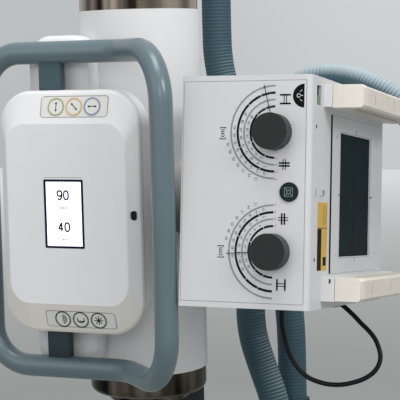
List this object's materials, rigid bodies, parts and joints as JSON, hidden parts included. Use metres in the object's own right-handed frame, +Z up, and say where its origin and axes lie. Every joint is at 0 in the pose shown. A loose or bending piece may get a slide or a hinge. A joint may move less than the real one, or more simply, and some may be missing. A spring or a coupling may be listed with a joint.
{
  "type": "x-ray tube head with collimator",
  "caption": "Turning X-ray tube head with a two-knob collimator, accessory rails, a display console and a tubular handle.",
  "frame": {"origin": "centre of the bolt circle on the rear mounting face", "axes": "+X along the beam, +Y back towards the stand, +Z up along the tube"},
  "size_m": [0.5422, 0.508, 0.8308],
  "materials": {
    "shroud_paint": "satin white paint",
    "console_plastic": "moulded off-white",
    "handle_coating": "satin blue-grey coating",
    "polished_end": "polished",
    "machined_steel": "machined",
    "housing_paint": "satin white paint",
    "rail_plastic": "aged cream",
    "knob_plastic": "charcoal",
    "clear_plastic": "clear",
    "window_plastic": "smoked",
    "display_glass": "lit display",
    "key_membrane": "printed film",
    "hose_rubber": "ribbed blue-grey hose",
    "cable_rubber": "black",
    "black_plastic": "black",
    "lead_blade": "dull grey",
    "mirror_glass": "silvered",
    "lamp_glass": "clear",
    "button_plastic": "dark green"
  },
  "bodies": {
    "stand": {"mount_flange": "machined_steel"},
    "head": {"arm": "shroud_paint", "shroud": "shroud_paint", "tube_tank": "polished_end", "cap_top": "polished_end", "cap_bottom": "polished_end", "port_neck": "shroud_paint", "port_plate": "shroud_paint", "console_carrier": "shroud_paint", "handle_loop": "handle_coating", "handle_strap": "handle_coating", "console_front": "console_plastic", "console_rear": "console_plastic", "display": "display_glass", "key_plate_top": "key_membrane", "key_plate_bottom": "key_membrane", "console_port": "black_plastic", "hv_well_upper": "shroud_paint", "hv_well_lower": "shroud_paint", "hv_plug_upper": "black_plastic", "hv_plug_lower": "black_plastic", "hose_upper": "hose_rubber", "hose_lower": "hose_rubber", "hose_end_upper": "machined_steel", "hose_end_lower": "machined_steel"},
    "collimator": {"swivel_ring": "housing_paint", "collimator_housing": "housing_paint", "front_panel": "housing_paint", "window_frame": "housing_paint", "frame_seal": "black_plastic", "window": "window_plastic", "rail_base_upper": "housing_paint", "rail_upper": "rail_plastic", "rail_base_lower": "housing_paint", "rail_lower": "rail_plastic", "mirror_plate": "mirror_glass", "mirror_bracket": "machined_steel", "lamp": "lamp_glass", "blade_carrier": "machined_steel", "tape_mouth": "rail_plastic", "lead": "cable_rubber", "lead_glands": "cable_rubber", "frame_screws": "machined_steel"},
    "top_blade": {"blade_top": "lead_blade"},
    "bottom_blade": {"blade_bottom": "lead_blade"},
    "front_blade": {"blade_front": "lead_blade"},
    "back_blade": {"blade_back": "lead_blade"},
    "upper_knob": {"knob_upper": "knob_plastic", "cursor_upper": "clear_plastic"},
    "lower_knob": {"knob_lower": "knob_plastic", "cursor_lower": "clear_plastic"},
    "field_light_button": {"light_button": "button_plastic"},
    "line_switch_tab": {"line_switch": "housing_paint"},
    "top_key_1": {"key_top_1": "key_membrane"},
    "low_key_1": {"key_low_1": "key_membrane"},
    "top_key_2": {"key_top_2": "key_membrane"},
    "low_key_2": {"key_low_2": "key_membrane"},
    "top_key_3": {"key_top_3": "key_membrane"},
    "low_key_3": {"key_low_3": "key_membrane"}
  },
  "joints": [
    {"name": "head_tilt", "type": "hinge", "parent": "stand", "child": "head", "pos_m": [0, -0.035, 0], "axis": [0, 1, 0], "range_deg": [-90, 90]},
    {"name": "collimator_swivel", "type": "hinge", "parent": "head", "child": "collimator", "pos_m": [0.125, -0.19, 0], "axis": [1, 0, 0], "range_deg": [-38.13, 51.87]},
    {"name": "upper_knob_turn", "type": "hinge", "parent": "collimator", "child": "upper_knob", "pos_m": [0.243, -0.36957, 0.08962], "axis": [0, -0.9928, 0.1196], "range_deg": [-14, 166]},
    {"name": "lower_knob_turn", "type": "hinge", "parent": "collimator", "child": "lower_knob", "pos_m": [0.243, -0.38572, -0.04441], "axis": [0, -0.9928, 0.1196], "range_deg": [-93, 87]},
    {"name": "blade_top_slide", "type": "slide", "parent": "collimator", "child": "top_blade", "axis": [0, 0.1196, 0.9928], "range_m": [-0.00373, 0.04427]},
    {"name": "blade_bottom_slide", "type": "slide", "parent": "collimator", "child": "bottom_blade", "axis": [0, -0.1196, -0.9928], "range_m": [-0.00373, 0.04427]},
    {"name": "blade_front_slide", "type": "slide", "parent": "collimator", "child": "front_blade", "axis": [0, -0.9928, 0.1196], "range_m": [-0.0248, 0.0232]},
    {"name": "blade_back_slide", "type": "slide", "parent": "collimator", "child": "back_blade", "axis": [0, 0.9928, -0.1196], "range_m": [-0.0248, 0.0232]},
    {"name": "key_top_1_press", "type": "slide", "parent": "head", "child": "top_key_1", "axis": [0, 0.9734, -0.229], "range_m": [0, 0.0008], "stiffness_N_per_m": 600, "springref_m": -0.002},
    {"name": "key_low_1_press", "type": "slide", "parent": "head", "child": "low_key_1", "axis": [0, 0.9683, 0.2499], "range_m": [0, 0.0008], "stiffness_N_per_m": 600, "springref_m": -0.002},
    {"name": "key_top_2_press", "type": "slide", "parent": "head", "child": "top_key_2", "axis": [0, 0.9734, -0.229], "range_m": [0, 0.0008], "stiffness_N_per_m": 600, "springref_m": -0.002},
    {"name": "key_low_2_press", "type": "slide", "parent": "head", "child": "low_key_2", "axis": [0, 0.9683, 0.2499], "range_m": [0, 0.0008], "stiffness_N_per_m": 600, "springref_m": -0.002},
    {"name": "key_top_3_press", "type": "slide", "parent": "head", "child": "top_key_3", "axis": [0, 0.9734, -0.229], "range_m": [0, 0.0008], "stiffness_N_per_m": 600, "springref_m": -0.002},
    {"name": "key_low_3_press", "type": "slide", "parent": "head", "child": "low_key_3", "axis": [0, 0.9683, 0.2499], "range_m": [0, 0.0008], "stiffness_N_per_m": 600, "springref_m": -0.002},
    {"name": "light_button_press", "type": "slide", "parent": "collimator", "child": "field_light_button", "axis": [0, 0.9928, -0.1196], "range_m": [0, 0.0012], "stiffness_N_per_m": 600, "springref_m": -0.003},
    {"name": "line_switch_slide", "type": "slide", "parent": "collimator", "child": "line_switch_tab", "axis": [0, 0.9928, -0.1196], "range_m": [0, 0.012]}
  ],
  "couplings": [
    {"joint": "upper_knob_turn", "follows": "blade_top_slide", "rad_per_m": 65.45},
    {"joint": "blade_bottom_slide", "follows": "blade_top_slide", "ratio": 1},
    {"joint": "lower_knob_turn", "follows": "blade_front_slide", "rad_per_m": 65.45},
    {"joint": "blade_back_slide", "follows": "blade_front_slide", "ratio": 1}
  ]
}
